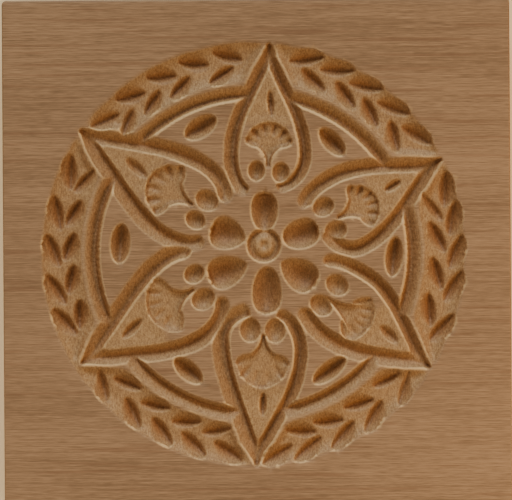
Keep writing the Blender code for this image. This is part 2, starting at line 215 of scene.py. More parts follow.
# Cuts as the node trees take them. Levels are how deep the ground lies at a gouge cut's two ends.
CutLine = namedtuple("CutLine", "points left right deep left_flare right_flare", defaults=(1.0, 1.0))
Gouge = namedtuple("Gouge", "start end half_width deep levels", defaults=((0.0, 0.0),))

# Tools: mesh steps from the deepest line to a lip and past it, then the shape that the tool leaves.
# Peak is where along its run a gouge cut is widest, and sharpness is how pointed its ends are.
LineTool = namedtuple("LineTool", "steps past floor_roundness wander")
GougeTool = namedtuple("GougeTool", "steps past stations peak sharpness floor_roundness lip_flare")

V_TOOL = LineTool(8, 2, 1.3, 0.25)
FAN_TOOL = LineTool(11, 1, 6.0, 0.1)
DISH_TOOL = LineTool(6, 0, 3.0, 0.1)
COVE_TOOL = LineTool(13, 1, COVE_ROUND, 0.2)
BLUNT_BOWL_TOOL = GougeTool(11, 1, 29, 0.58, 0.75, 2.0, 1.0)
POINTED_BOWL_TOOL = GougeTool(11, 1, 29, 0.66, 1.0, 2.0, 1.0)
PEARL_TOOL = GougeTool(8, 1, 21, 0.5, 1.0, 2.2, 1.0)
SEED_TOOL = GougeTool(8, 1, 25, 0.5, 0.95, 1.6, 1.3)
BUD_TOOL = GougeTool(5, 0, 19, 0.5, 1.2, 1.5, 1.2)
RIB_TOOL = GougeTool(4, 0, 17, 0.7, 0.9, 1.6, 1.0)
LOW_RIB_TOOL = GougeTool(4, 0, 17, 0.62, 1.0, 1.6, 1.0)
BOSS_TOOL = GougeTool(8, 0, 21, 0.5, 1.0, 2.6, 1.0)
LEAF_TOOL = GougeTool(8, 0, 23, 0.5, 1.15, 1.25, 1.5)

# The petals from the top one on, counter-clockwise
PETALS = (
    Petal(88.1, 39.8,
          Limb(6.4, 18.0, 0.00, 0.42, 2.1, 0.9, (3.2, 11.2)),
          Limb(7.4, 18.0, 0.05, 0.40, 1.6, 1.0, (2.2, 11.9)),
          (Pearl(-1.8, 15.0, 1.55), Pearl(3.0, 14.8, 1.60)),
          Fan((0.5, 18.4), 5.9, 4.9, 68, 69), Scoop((0.4, 30.8), (0.9, 25.6), 0.80)),
    Petal(147.2, 42.6,
          Limb(8.1, 18.5, 0.22, 0.28, 2.4, 1.1, (5.0, 11.4)),
          Limb(7.2, 18.5, 0.10, 0.40, 1.9, 1.6, (3.2, 11.6)),
          (Pearl(-2.8, 14.3, 1.60), Pearl(1.7, 14.5, 1.85)),
          Fan((-0.6, 18.8), 7.3, 5.6, 70, 67), Scoop((0.1, 32.2), (-0.8, 26.8), 1.25)),
    Petal(212.3, 42.4,
          Limb(8.4, 20.0, 0.18, 0.35, 1.9, 1.5, (3.8, 12.8)),
          Limb(8.0, 17.5, 0.15, 0.32, 2.5, 1.1, (6.5, 13.2)),
          (Pearl(-2.3, 15.8, 1.90), Pearl(2.8, 14.6, 1.65)),
          Fan((0.3, 18.6), 7.5, 6.3, 58, 71), Scoop((-0.2, 33.2), (0.9, 27.9), 1.15)),
    Petal(267.9, 42.9,
          Limb(7.8, 21.0, 0.10, 0.42, 1.6, 1.3, (3.0, 13.4)),
          Limb(7.1, 18.5, 0.12, 0.34, 2.6, 0.9, (2.2, 13.4)),
          (Pearl(-2.8, 16.7, 1.90), Pearl(2.1, 16.7, 1.90)),
          Fan((-0.5, 20.0), 7.7, 5.3, 68, 68), Scoop((-0.8, 33.4), (-0.8, 28.7), 0.90)),
    Petal(323.6, 40.3,
          Limb(7.4, 21.0, 0.10, 0.36, 1.6, 1.3, (4.3, 11.6)),
          Limb(6.9, 20.0, 0.12, 0.42, 2.2, 1.5, (4.8, 14.2)),
          (Pearl(-2.4, 16.4, 1.85), Pearl(2.7, 16.2, 1.85)),
          Fan((0.9, 18.6), 7.4, 6.3, 53, 45), Scoop((-0.2, 32.6), (-0.9, 27.8), 1.20)),
    Petal(25.8, 38.8,
          Limb(6.2, 18.5, 0.00, 0.40, 1.9, 1.5, (3.3, 10.8)),
          Limb(8.5, 17.5, 0.15, 0.40, 1.7, 1.5, (2.8, 12.4)),
          (Pearl(-1.8, 14.2, 1.70), Pearl(3.5, 14.3, 1.80)),
          Fan((1.4, 18.2), 5.9, 4.9, 72, 62), Scoop((0.2, 30.0), (0.7, 26.2), 1.00)),
)

BLUNT_BOWLS = (
    Scoop((1.5, 4.3), (1.5, 11.8), 2.7),
    Scoop((5.2, 2.6), (11.9, 4.7), 2.95),
    Scoop((2.0, -2.8), (1.8, -11.8), 2.95),
)

POINTED_BOWLS = (
    Scoop((-2.3, 2.7), (-8.9, 4.8), 3.3),
    Scoop((-2.0, -2.1), (-9.4, -4.8), 3.2),
    Scoop((4.8, -1.8), (11.3, -6.2), 3.2),
)

SEEDS = (
    Scoop((-8.0, 26.7), (-13.9, 23.0), 2.15),
    Scoop((12.7, 24.3), (17.2, 19.3), 1.95),
    Scoop((27.4, 3.0), (26.5, -4.7), 1.85),
    Scoop((17.2, -20.9), (11.0, -25.5), 1.85),
    Scoop((-16.3, -20.8), (-11.1, -25.3), 1.95),
    Scoop((-26.6, 5.9), (-27.2, -1.8), 2.1),
)

LEAF_ROWS = (
    LeafRow((78.5, 69.3, 60.0, 50.0, 39.8), 38.7, -8.4, 41.1),
    LeafRow((74.5, 63.5, 54.0, 43.5), 37.6, -8.5, 35.1),
    LeafRow((93.0, 103.0, 113.0, 123.5, 133.6), 38.2, 7.6, 40.4),
    LeafRow((95.8, 109.5, 119.5, 129.5), 37.0, 7.8, 34.7),
    LeafRow((160.0, 172.3, 183.2, 194.4, 204.0), 38.2, -8.6, 40.6),
    LeafRow((160.3, 171.0, 181.6, 191.8, 203.0), 37.2, -8.3, 35.5),
    LeafRow((216.8, 228.5, 238.4, 248.2, 258.3), 38.0, 8.0, 40.8),
    LeafRow((221.5, 232.8, 244.0, 254.0), 36.7, 8.3, 34.7),
    LeafRow((281.0, 289.8, 300.4, 310.6, 322.4), 38.6, -8.5, 41.3),
    LeafRow((289.0, 298.0, 309.0, 320.5), 37.3, -8.5, 35.4),
    LeafRow((333.8, 346.0, 355.8, 365.4, 373.8), 38.9, 8.6, 41.1),
    LeafRow((337.6, 349.0, 360.4, 369.8), 37.8, 9.2, 35.5),
)


# Places on the face

def from_wreath(bearing, radius):
    """The place on the face at a bearing and a distance from the wreath's middle."""
    angle = radians(bearing)
    return Vector((WREATH_CENTRE[0] + radius * cos(angle), WREATH_CENTRE[1] + radius * sin(angle)))


def from_petal(petal, point):
    """A point of a petal's own frame, across and out along its bearing, as a point of the face."""
    across, out = point
    angle = radians(petal.bearing)
    return Vector((STAR_CENTRE[0] + out * cos(angle) + across * sin(angle),
                   STAR_CENTRE[1] + out * sin(angle) - across * cos(angle)))


def bezier(points, count):
    """Places along a cubic curve with these four control points, in count steps."""
    a, b, c, d = (Vector(p) for p in points)
    steps = (i / count for i in range(count + 1))
    return [a * (1 - t) ** 3 + b * 3 * t * (1 - t) ** 2 + c * 3 * t * t * (1 - t) + d * t ** 3
            for t in steps]


def all_round(length):
    """Shifts of this length in even directions all round."""
    angles = [2 * pi * i / LOOKS for i in range(LOOKS)]
    return [(length * cos(angle), length * sin(angle)) for angle in angles]


def even(line, gap):
    """The same line with its points an even gap apart."""
    steps = [0.0]
    for first, second in zip(line, line[1:]):
        steps.append(steps[-1] + (second - first).length)
    count = max(2, round(steps[-1] / gap))
    wanted = np.linspace(0, steps[-1], count + 1)
    return [Vector(p) for p in zip(np.interp(wanted, steps, [p.x for p in line]),
                                   np.interp(wanted, steps, [p.y for p in line]))]


def cove_depth(radius):
    """How deep the wreath's hollow is at a distance from its middle."""
    bank = COVE_OUTER_BANK if radius > COVE_RADIUS else COVE_INNER_BANK
    return COVE_DEPTH * max(0.0, 1 - abs((radius - COVE_RADIUS) / bank) ** COVE_ROUND)


# Lines that a V tool followed

def limb_side(petal, side):
    """A petal's side from its tip to its shoulder, in the petal's frame; side is -1 or 1."""
    limb = petal.left if side < 0 else petal.right
    drop = petal.reach - limb.shoulder
    tip_handle = (limb.lean * limb.spread, petal.reach - TIP_HANDLE * drop)
    shoulder_handle = (limb.spread, limb.shoulder + limb.fullness * drop)
    return bezier(((0, petal.reach), tip_handle, shoulder_handle, (limb.spread, limb.shoulder)), LIMB_STEPS)


def limb_cut(petal, side):
    """The groove down one side of a petal, from its tip and round the curl; side is -1 or 1."""
    limb = petal.left if side < 0 else petal.right
    curl_across, curl_out = limb.curl
    turn = limb.shoulder - curl_out
    long_side = limb_side(petal, side)
    curl = bezier(((limb.spread, limb.shoulder), (limb.spread, limb.shoulder - CURL_HANDLE * turn),
                   (0.5 * (limb.spread + curl_across), curl_out), limb.curl), CURL_STEPS)
    places = [from_petal(petal, (side * across, out)) for across, out in long_side + curl[1:]]
    line = even(places, STATION)
    turning = sum((b - a).length for a, b in zip(places[LIMB_STEPS:], places[LIMB_STEPS + 1:]))
    whole = STATION * (len(line) - 1)
    outer, inner, deep = [], [], []
    for i in range(len(line)):
        run = i * STATION
        opened = min(1.0, run / TIP_RUN)
        curled = max(0.0, (run - whole + turning) / turning)
        close = max(0.0, (curled - 1 + CURL_END) / CURL_END)
        close = max(0.0, 1 - close * close) ** 0.5
        narrowed = (1 - (1 - CURL_WIDTH) * curled) * max(close, END_WIDTH)
        splay = 1 + TIP_SPLAY * max(0.0, 1 - run / SPLAY_RUN)
        outer.append(limb.outer * narrowed * (TIP_WIDTH + (1 - TIP_WIDTH) * sin(pi / 2 * opened)))
        inner.append(min(limb.inner * narrowed * splay, outer[-1] + TIP_OPENING * run))
        deep.append(LIMB_DEPTH * (TIP_DEPTH + (1 - TIP_DEPTH) * opened ** TIP_DEEPENING)
                    * (1 - (1 - CURL_DEPTH) * curled ** 2) * max(close, END_DEPTH))
    if side < 0:
        return CutLine(line, inner, outer, deep, INNER_FLARE, OUTER_FLARE)
    return CutLine(line, outer, inner, deep, OUTER_FLARE, INNER_FLARE)


def fan_reach(fan, angle):
    """How far a fan's crown is from its hinge."""
    return fan.crown * cos(angle) ** 2 + fan.side * sin(angle) ** 2


def fan_cut(petal):
    """The sunk floor of a petal's fan: a stem between the pearls that opens out under a domed crown."""
    fan = petal.fan
    across, hinge = fan.hinge
    corners = [(fan_reach(fan, angle) * sin(angle), hinge + fan_reach(fan, angle) * cos(angle))
               for angle in (radians(fan.left), radians(fan.right))]
    foot, top = hinge - STEM_LENGTH, hinge + fan.crown
    count = round((top - foot) / FINE_STATION)
    line, sides, deep = [], ([], []), []
    for i in range(count + 1):
        out = foot + (top - foot) * i / count
        line.append(from_petal(petal, (across, out)))
        for (wide, level), widths in zip(corners, sides):
            if out < level:
                arc = (1 - ((out - foot) / (level - foot)) ** 2) ** 0.5
                widths.append(wide - (wide - STEM_HALF_WIDTH) * arc)
            else:
                arc = max(0.0, 1 - ((out - level) / (top - level)) ** 2) ** 0.5
                widths.append(max(CROWN_END, wide * arc))
        deep.append(STEM_DEPTH + (FAN_DEPTH - STEM_DEPTH) * min(1.0, (out - foot) / (hinge - foot)))
    return CutLine(line, sides[0], sides[1], deep)


def dish_cut(petal):
    """The shallow hollow between a petal's two grooves, from its fan to its tip."""
    low, high = petal.fan.hinge[1] + petal.fan.crown - DISH_OVERLAP, petal.reach - TIP_GAP
    count = round((high - low) / STATION)
    outs = [low + (high - low) * i / count for i in range(count + 1)]
    sides = []
    for side in (-1, 1):
        edge = limb_side(petal, side)[::-1]
        sides.append(np.interp(outs, [p.y for p in edge], [p.x for p in edge]).tolist())
    deep = [DISH_DEPTH * min(1.0, i * STATION / DISH_RUN) for i in range(count + 1)]
    line = [from_petal(petal, (0, out)) for out in outs]
    return CutLine(line, sides[0], sides[1], deep)


def petal_test(petal):
    """A test of whether a place on the face lies between the deepest lines of a petal's two grooves."""
    angle = radians(petal.bearing)
    edges = []
    for side in (-1, 1):
        edge = limb_side(petal, side)[::-1]
        edges.append(([p.y for p in edge], [p.x for p in edge]))

    def inside(spot):
        arm = spot - Vector(STAR_CENTRE)
        out = arm.x * cos(angle) + arm.y * sin(angle)
        across = arm.x * sin(angle) - arm.y * cos(angle)
        outs, widths = edges[across > 0]
        return outs[0] < out < petal.reach and abs(across) < np.interp(out, outs, widths)

    return inside


def bay_shares(grooves):
    """A measure of how far a place lies in a bay of the wreath: 0 at a petal's lip, 1 well clear of it."""
    banks = [(place, wide) for cut, wides in grooves for place, wide in zip(cut.points, wides)]
    tree = KDTree(len(banks))
    for i, (place, _) in enumerate(banks):
        tree.insert((place.x, place.y, 0), i)
    tree.balance()
    tests = [petal_test(petal) for petal in PETALS]

    def share_at(spot):
        if any(inside(spot) for inside in tests):
            return 0.0
        _, i, gap = tree.find((spot.x, spot.y, 0))
        share = min(1.0, max(0.0, (gap - banks[i][1]) / BAY_BANK))
        return share * share * (3 - 2 * share)

    return share_at


def ring_crossing(cut):
    """The bearing at which a petal's groove crosses the ring."""
    for place in cut.points:
        arm = place - Vector(WREATH_CENTRE)
        if arm.length <= RING_RADIUS:
            return atan2(arm.y, arm.x) * 180 / pi
    raise ValueError("a petal does not reach the ring")


def arc_cut(first, last, radius, inner, outer, depth, inner_flare, outer_flare):
    """A groove along part of a circle about the wreath's middle, counter-clockwise."""
    sweep = (last - first) % 360 or 360
    count = round(radians(sweep) * radius / STATION)
    line = [from_wreath(first + sweep * i / count, radius) for i in range(count + 1)]
    size = len(line)
    return CutLine(line, [inner] * size, [outer] * size, [depth] * size, inner_flare, outer_flare)


def boss_cut():
    """The ring round the flower's middle knob."""
    count = round(2 * pi * BOSS_RING_RADIUS / STATION)
    centre = Vector(BOSS_CENTRE)
    line = [centre + Vector((cos(a), sin(a))) * BOSS_RING_RADIUS
            for a in (2 * pi * i / count for i in range(count + 1))]
    size = len(line)
    return CutLine(line, [BOSS_KNOB_BANK] * size, [BOSS_RING_BANK] * size, [BOSS_RING_DEPTH] * size,
                   BOSS_KNOB_FLARE, BOSS_RING_FLARE)


def v_cuts(rights, lefts):
    """All V grooves: two limbs a petal, the ring in an arc from each petal to the next, and the boss's."""
    arcs = [arc_cut(ring_crossing(left), ring_crossing(right), RING_RADIUS, RING_INNER_BANK,
                    RING_OUTER_BANK, RING_DEPTH, RING_INNER_FLARE, RING_OUTER_FLARE)
            for left, right in zip(lefts, rights[1:] + rights[:1])]
    return rights + lefts + arcs + [boss_cut()]


# Single cuts with a gouge

def pearl_gouges():
    """The two round pits at the foot of each petal, each running out shallow towards the flower."""
    for petal in PETALS:
        for pearl in petal.pearls:
            radius = PEARL_SWELL * pearl.radius
            start = from_petal(petal, (pearl.across, pearl.out + radius))
            end = from_petal(petal, (pearl.across, pearl.out - PEARL_TAIL * radius))
            yield Gouge(start, end, radius, PEARL_DEPTH)


def rib_gouges(petals, depth):
    """The flutes under the crown of each fan."""
    for petal in petals:
        fan = petal.fan
        step = (fan.left + fan.right) / FAN_RIBS
        for rib in range(FAN_RIBS):
            deep = depth * (END_RIB_SHARE if rib in (0, FAN_RIBS - 1) else 1.0)
            angle = radians(-fan.left + step * (rib + 0.5))
            reach = fan_reach(fan, angle)
            start, end = (from_petal(petal, (fan.hinge[0] + share * reach * sin(angle),
                                             fan.hinge[1] + share * reach * cos(angle)))
                          for share in (RIB_START, RIB_END))
            yield Gouge(start, end, RIB_HALF_WIDTH * radians(step) * reach, deep)


def boss_gouges():
    """The sunk knob in the middle of the flower, and the dimple in it."""
    centre = Vector(BOSS_CENTRE)
    pits = ((BOSS_RING_RADIUS, BOSS_DEPTH, 0.0), (DIMPLE_RADIUS, DIMPLE_DEPTH, DIMPLE_LEVEL))
    for radius, deep, level in pits:
        arm = Vector((0, radius))
        yield Gouge(centre + arm, centre - arm, radius, deep, (level, level))


def leaf_gouges(share_at):
    """The leaf cuts of the wreath; share_at says how deep its bay is at a place."""
    for row in LEAF_ROWS:
        half_width = OUTER_LEAF_HALF_WIDTH if row.tip > row.base else INNER_LEAF_HALF_WIDTH
        for bearing in row.bearings:
            base = from_wreath(bearing, row.base)
            tip = from_wreath(bearing + row.turn, row.tip)
            extra = (tip - base) * LEAF_STRETCH
            yield Gouge(base - extra, tip + extra, half_width, LEAF_DEPTH,
                        (cove_depth(row.base) * share_at(base), cove_depth(row.tip) * share_at(tip)))


def scoop_gouges(scoops, depth):
    """Cuts into the plain face, one for each scoop."""
    for scoop in scoops:
        yield Gouge(Vector(scoop.start), Vector(scoop.end), scoop.half_width, depth)


def bud_gouges():
    """The small cut between each petal's fan and its tip, in the floor of the dish."""
    for petal in PETALS:
        bud = petal.bud
        yield Gouge(from_petal(petal, bud.start), from_petal(petal, bud.end), bud.half_width, BUD_DEPTH,
                    (BUD_LEVEL, BUD_LEVEL))


# Node trees

class Nodes:
    """Adds nodes to a tree and links them."""

    def __init__(self, tree):
        self.tree = tree

    def put(self, socket, value):
        """Links a socket, or a node's first live output, to the socket, or sets the socket to a value."""
        if isinstance(value, bpy.types.NodeSocket):
            self.tree.links.new(value, socket)
        elif isinstance(value, bpy.types.Node):
            self.tree.links.new(next(s for s in value.outputs if s.enabled), socket)
        else:
            socket.default_value = value

    def add(self, kind, values=(), **settings):
        """A node; values go to its enabled inputs, by name or by place."""
        node = self.tree.nodes.new(kind)
        for name, value in settings.items():
            setattr(node, name, value)
        for key, value in dict(values).items():
            live = [s for s in node.inputs if s.enabled]
            self.put(live[key] if isinstance(key, int) else next(s for s in live if s.name == key), value)
        return node

    def math(self, operation, *values):
        return self.add("ShaderNodeMath", enumerate(values), operation=operation).outputs[0]

    def vector(self, x, y, z):
        return self.add("ShaderNodeCombineXYZ", enumerate((x, y, z))).outputs[0]

    def split(self, value):
        return self.add("ShaderNodeSeparateXYZ", {0: value}).outputs


class Tree(Nodes):
    """A Geometry Nodes tree that takes a shape and some named sizes and gives a shape."""

    def __init__(self, name, *inputs):
        super().__init__(bpy.data.node_groups.new(name, "GeometryNodeTree"))
        sockets = self.tree.interface
        sockets.new_socket("Geometry", in_out="INPUT", socket_type="NodeSocketGeometry")
        for label, kind in inputs:
            sockets.new_socket(label, in_out="INPUT", socket_type="NodeSocket" + kind)
        sockets.new_socket("Geometry", in_out="OUTPUT", socket_type="NodeSocketGeometry")
        self.entry = self.tree.nodes.new("NodeGroupInput")

    def size(self, label):
        return self.entry.outputs[label]

    def attribute(self, name, kind="FLOAT"):
        node = self.add("GeometryNodeInputNamedAttribute", {"Name": name}, data_type=kind)
        return node.outputs["Attribute"]

    def capture(self, shape, kind, value):
        """The shape with a value held on its points, and that value."""
        node = self.tree.nodes.new("GeometryNodeCaptureAttribute")
        node.domain = "POINT"
        node.capture_items.new(kind, "Value")
        self.put(node.inputs["Geometry"], shape)
        self.put(node.inputs["Value"], value)
        return node.outputs["Geometry"], node.outputs["Value"]

    def store(self, shape, name, value):
        """The shape with a value stored on its points under a name."""
        return self.add("GeometryNodeStoreNamedAttribute", {
            "Geometry": shape, "Name": name, "Value": value}, data_type="FLOAT", domain="POINT")

    def blurred(self, name, iterations, weight):
        """A stored value, evened out between neighbouring points."""
        return self.add("GeometryNodeBlurAttribute", {
            "Value": self.attribute(name), "Iterations": iterations, "Weight": weight}, data_type="FLOAT")

    def noise(self, place, scale, detail):
        """Noise that the tree's seed picks."""
        seeded = self.math("MULTIPLY", self.size("Seed"), SEED_STEP)
        node = self.add("ShaderNodeTexNoise", {
            "Vector": place, "W": seeded, "Scale": scale, "Detail": detail}, noise_dimensions="4D")
        return self.math("SUBTRACT", node.outputs[0], 0.5)

    def finish(self, shape, material):
        real = self.add("GeometryNodeRealizeInstances", {"Geometry": shape})
        coated = self.add("GeometryNodeSetMaterial", {"Geometry": real, "Material": material})
        last = self.tree.nodes.new("NodeGroupOutput")
        self.tree.links.new(coated.outputs["Geometry"], last.inputs["Geometry"])

    def run(self, thing, **values):
        """Runs the tree on an object with these sizes and gives the result as a plain mesh."""
        modifier = thing.modifiers.new(self.tree.name, "NODES")
        modifier.node_group = self.tree
        for item in self.tree.interface.items_tree:
            key = item.name.lower().replace(" ", "_")
            if item.in_out == "INPUT" and key in values:
                modifier[item.identifier] = values.pop(key)
        assert not values, values
        thing.update_tag()
        graph = bpy.context.evaluated_depsgraph_get()
        graph.update()
        result = bpy.data.meshes.new_from_object(thing.evaluated_get(graph))
        thing.modifiers.remove(modifier)
        return result


def bank_height(tree, share, roundness, flare):
    """How deep a bank is, from 1 on its floor to 0 at its lip, where share goes from 0 to 1."""
    close = tree.math("SUBTRACT", 1.0, tree.math("POWER", tree.math("MINIMUM", share, 1.0), roundness))
    return tree.math("POWER", tree.math("MAXIMUM", close, 0.0), flare)


def sweep_tree():
    """Sweeps a V tool along every line of a mesh of edges.

    Each vertex of a line holds the widths of the banks to its left and right, how they flare at the
    lip and how deep the line is. Apron is how far the strip runs on along the face past each lip.
    """
    tree = Tree("swept_cuts", ("Face Height", "Float"), ("Floor Roundness", "Float"), ("Apron", "Float"),
                ("Points Across", "Int"), ("Wander", "Float"), ("Seed", "Int"), ("Material", "Material"))
    curve = tree.add("GeometryNodeMeshToCurve", {"Mesh": tree.size("Geometry")}).outputs["Curve"]
    curve, place = tree.capture(curve, "VECTOR", tree.add("GeometryNodeInputPosition"))
    curve, along = tree.capture(curve, "VECTOR", tree.add("GeometryNodeInputTangent"))
    profile = tree.add("GeometryNodeCurvePrimitiveLine", {"Start": (-1, 0, 0), "End": (1, 0, 0)})
    profile = tree.add("GeometryNodeResampleCurve", {"Curve": profile, "Count": tree.size("Points Across")})
    factor = tree.add("GeometryNodeSplineParameter").outputs["Factor"]
    profile, factor = tree.capture(profile, "FLOAT", factor)
    strip = tree.add("GeometryNodeCurveToMesh", {"Curve": curve, "Profile Curve": profile})
    reach = tree.math("ADD", 1.0, tree.size("Apron"))
    share = tree.math("MULTIPLY", tree.math("SUBTRACT", tree.math("MULTIPLY", factor, 2.0), 1.0), reach)
    on_left = tree.math("GREATER_THAN", share, 0.0)

    def by_side(left, right):
        return tree.add("ShaderNodeMix", {"Factor": on_left, "A": tree.attribute(right),
                                          "B": tree.attribute(left)}, data_type="FLOAT")

    bank = bank_height(tree, tree.math("ABSOLUTE", share), tree.size("Floor Roundness"),
                       by_side("left_flare", "right_flare"))
    wander = tree.math("MULTIPLY_ADD", tree.noise(place, WANDER_SIZE, 1.0), tree.size("Wander"), 1.0)
    across = tree.math("MULTIPLY", tree.math("MULTIPLY", share, wander), by_side("left", "right"))
    height = tree.math("SUBTRACT", tree.size("Face Height"),
                       tree.math("MULTIPLY", bank, tree.math("MULTIPLY", wander, tree.attribute("deep"))))
    here, ahead = tree.split(place), tree.split(along)
    spot = tree.vector(tree.math("SUBTRACT", here[0], tree.math("MULTIPLY", across, ahead[1])),
                       tree.math("MULTIPLY_ADD", across, ahead[0], here[1]), height)
    placed = tree.add("GeometryNodeSetPosition", {"Geometry": strip, "Position": spot})
    tree.finish(placed, tree.size("Material"))
    return tree


def gouge_tree():
    """Puts a gouge cut, a dish drawn out to a lens, on every point of a mesh.

    Each point holds the cut's size as length, half width and depth, and its turn about z and tilt.
    """
    tree = Tree("gouge_cuts", ("Peak", "Float"), ("Sharpness", "Float"), ("Floor Roundness", "Float"),
                ("Lip Flare", "Float"), ("Apron", "Float"), ("Stations", "Int"), ("Points Across", "Int"),
                ("Material", "Material"))
    grid = tree.add("GeometryNodeMeshGrid", {
        "Size X": 1.0, "Size Y": 2.0, "Vertices X": tree.size("Stations"),
        "Vertices Y": tree.size("Points Across")})
    x, y, _ = tree.split(tree.add("GeometryNodeInputPosition"))
    # Stations crowd together towards both ends, where the outline turns quickly
    even_run = tree.math("ADD", x, 0.5)
    run = tree.math("MULTIPLY_ADD", tree.math("COSINE", tree.math("MULTIPLY", even_run, pi)), -0.5, 0.5)
    share = tree.math("MULTIPLY", y, tree.math("ADD", 1.0, tree.size("Apron")))
    peak, sharp = tree.size("Peak"), tree.size("Sharpness")
    back = tree.math("SUBTRACT", 1.0, peak)
    rise = tree.math("POWER", tree.math("DIVIDE", run, peak), tree.math("MULTIPLY", sharp, peak))
    fall = tree.math("POWER", tree.math("DIVIDE", tree.math("SUBTRACT", 1.0, run), back),
                     tree.math("MULTIPLY", sharp, back))
    swell = tree.math("MULTIPLY", rise, fall)
    bank = bank_height(tree, tree.math("ABSOLUTE", share), tree.size("Floor Roundness"),
                       tree.size("Lip Flare"))
    spot = tree.vector(run, tree.math("MULTIPLY", share, swell),
                       tree.math("MULTIPLY", tree.math("MULTIPLY", swell, bank), -1.0))
    dish = tree.add("GeometryNodeSetPosition", {"Geometry": grid, "Position": spot})
    turn = tree.vector(0.0, tree.attribute("tilt"), tree.attribute("turn"))
    copies = tree.add("GeometryNodeInstanceOnPoints", {
        "Points": tree.size("Geometry"), "Instance": dish, "Rotation": turn,
        "Scale": tree.attribute("size", "FLOAT_VECTOR")})
    tree.finish(copies, tree.size("Material"))
    return tree


def carve_tree():
    """Lowers each point of the board's face to the deepest cut under it, and eases the lips.

    It leaves two values on the points: cut, how deep the point lies under the face, and crest, how far
    the point stands over its surroundings.
    """
    tree = Tree("carve_board", ("Cuts", "Object"), ("Face Height", "Float"), ("Lip Easing", "Int"),
                ("Ripple", "Float"), ("Ripple Size", "Float"), ("Seed", "Int"), ("Material", "Material"))
    cuts = tree.add("GeometryNodeObjectInfo", {"Object": tree.size("Cuts")}).outputs["Geometry"]
    x, y, z = tree.split(tree.add("GeometryNodeInputPosition"))
    on_face = tree.math("GREATER_THAN", z, tree.math("SUBTRACT", tree.size("Face Height"), FACE_MARGIN))

    def drop_at(x_shift, y_shift):
        """How far the deepest cut lies under the face at a small shift from the point."""
        source = tree.vector(tree.math("ADD", x, x_shift), tree.math("ADD", y, y_shift), 0.0)
        ray = tree.add("GeometryNodeRaycast", {
            "Target Geometry": cuts, "Source Position": source, "Ray Direction": (0, 0, 1),
            "Ray Length": RAY_LENGTH})
        under = tree.math("SUBTRACT", tree.size("Face Height"), tree.split(ray.outputs["Hit Position"])[2])
        return tree.math("MULTIPLY", tree.math("MAXIMUM", under, 0.0), ray.outputs["Is Hit"])

    drop = tree.math("MULTIPLY", drop_at(0.0, 0.0), on_face)
    shape = tree.store(tree.size("Geometry"), "cut", drop)
    eased = tree.blurred("cut", tree.size("Lip Easing"), EASING_WEIGHT)
    around = 0.0
    for shift in all_round(LOOK_REACH):
        around = tree.math("ADD", around, drop_at(*shift))
    crest = tree.math("SUBTRACT", tree.math("DIVIDE", around, float(LOOKS)), drop)
    shape = tree.store(shape, "crest", tree.math("MULTIPLY", crest, on_face))
    shape = tree.store(shape, "crest", tree.blurred("crest", 1, CREST_WEIGHT))
    shape = tree.store(shape, "cut", tree.math("MULTIPLY", eased, on_face))
    stretched = tree.vector(tree.math("MULTIPLY", x, RIPPLE_STRETCH), y, z)
    carved = tree.math("MINIMUM", tree.math("MULTIPLY", tree.attribute("cut"), RIPPLE_GROWTH), 1.0)
    ripple = tree.math("MULTIPLY", tree.noise(stretched, tree.size("Ripple Size"), 2.0),
                       tree.math("MULTIPLY", tree.size("Ripple"), carved))
    fall = tree.math("SUBTRACT", ripple, tree.attribute("cut"))
    shape = tree.add("GeometryNodeSetPosition", {"Geometry": shape, "Offset": tree.vector(0.0, 0.0, fall)})
    shape = tree.add("GeometryNodeSetShadeSmooth", {"Geometry": shape, "Shade Smooth": True})
    tree.finish(shape, tree.size("Material"))
    return tree


# Meshes that the trees work on

def working_object(name, mesh):
    """An object with this mesh, in the scene."""
    thing = bpy.data.objects.new(name, mesh)
    bpy.context.scene.collection.objects.link(thing)
    return thing


def put_values(mesh, name, kind, values):
    """Stores a number or a vector on each point of a mesh."""
    field = mesh.attributes.new(name, kind, "POINT")
    key = "vector" if kind == "FLOAT_VECTOR" else "value"
    field.data.foreach_set(key, np.asarray(values, dtype=np.float32).ravel())


def line_mesh(cuts):
    """A mesh of edges along the cut lines, with each line's sizes at its vertices."""
    verts, edges = [], []
    for cut in cuts:
        start = len(verts)
        verts += [(p.x, p.y, 0.0) for p in cut.points]
        edges += [(i, i + 1) for i in range(start, len(verts) - 1)]
    mesh = bpy.data.meshes.new("cut_lines")
    mesh.from_pydata(verts, edges, [])
    for name in ("left", "right", "deep"):
        put_values(mesh, name, "FLOAT", [value for cut in cuts for value in getattr(cut, name)])
    for name in ("left_flare", "right_flare"):
        put_values(mesh, name, "FLOAT", [getattr(cut, name) for cut in cuts for _ in cut.points])
    return mesh


def gouge_mesh(gouges, face):
    """A mesh of points, one at the start of each gouge cut."""
    gouges = list(gouges)
    mesh = bpy.data.meshes.new("cut_points")
    mesh.from_pydata([(g.start.x, g.start.y, face - g.levels[0]) for g in gouges], [], [])
    arms = [g.end - g.start for g in gouges]
    drops = [g.levels[1] - g.levels[0] for g in gouges]
    lengths = [hypot(arm.length, drop) for arm, drop in zip(arms, drops)]
    put_values(mesh, "turn", "FLOAT", [atan2(arm.y, arm.x) for arm in arms])
    put_values(mesh, "tilt", "FLOAT", [atan2(drop, arm.length) for arm, drop in zip(arms, drops)])
    put_values(mesh, "size", "FLOAT_VECTOR", [(length, g.half_width, g.deep)
                                              for length, g in zip(lengths, gouges)])
    return mesh


